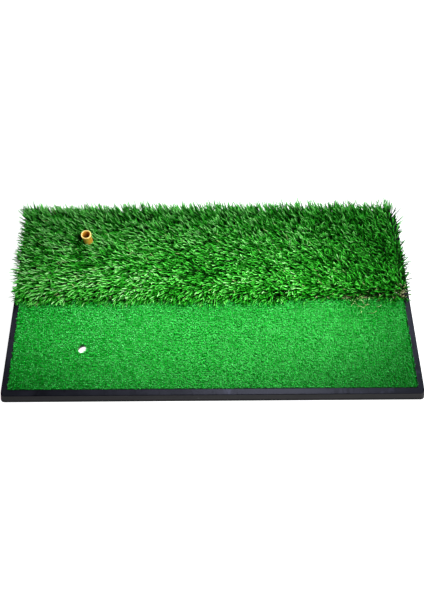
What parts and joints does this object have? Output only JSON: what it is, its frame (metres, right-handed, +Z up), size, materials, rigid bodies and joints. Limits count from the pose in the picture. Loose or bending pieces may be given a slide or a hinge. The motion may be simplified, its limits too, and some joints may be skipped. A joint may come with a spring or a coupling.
{
  "type": "golf hitting mat",
  "caption": "Flat practice mat with a moulded rubber tray, a strip of short turf, a strip of long turf and a hollow rubber tee.",
  "frame": {"origin": "on the floor, under the middle of the whole mat with the long blades that lean over its back edge", "axes": "+X along the mat's long side with the tee at -X, +Y from the short turf to the long turf, +Z up"},
  "size_m": [0.6096, 0.3128, 0.05],
  "materials": {
    "black_rubber": "satin moulded rubber with a fine grain",
    "adhesive": "cloudy amber hot-melt film",
    "latex_coat": "matt cured latex",
    "woven_backing": "plain woven polypropylene tape",
    "short_turf_yarn": "dense crimped green yarn, cut level",
    "thatch_yarn": "curly tan yarn",
    "long_turf_blades": "satin flat green blades",
    "orange_rubber": "satin, slightly translucent rubber"
  },
  "bodies": {
    "mat": {"rubber_base": "black_rubber", "short_turf_adhesive": "adhesive", "short_turf_latex_coat": "latex_coat", "short_turf_primary_backing": "woven_backing", "short_turf_pile": "short_turf_yarn", "long_turf_adhesive": "adhesive", "long_turf_latex_coat": "latex_coat", "long_turf_primary_backing": "woven_backing", "long_turf_thatch": "thatch_yarn", "long_turf_pile": "long_turf_blades"},
    "tee": {"rubber_tee": "orange_rubber"}
  },
  "joints": [
    {"name": "tee_pull", "type": "slide", "parent": "mat", "child": "tee", "axis": [0, 0, -1], "range_m": [0, 0.06]}
  ]
}
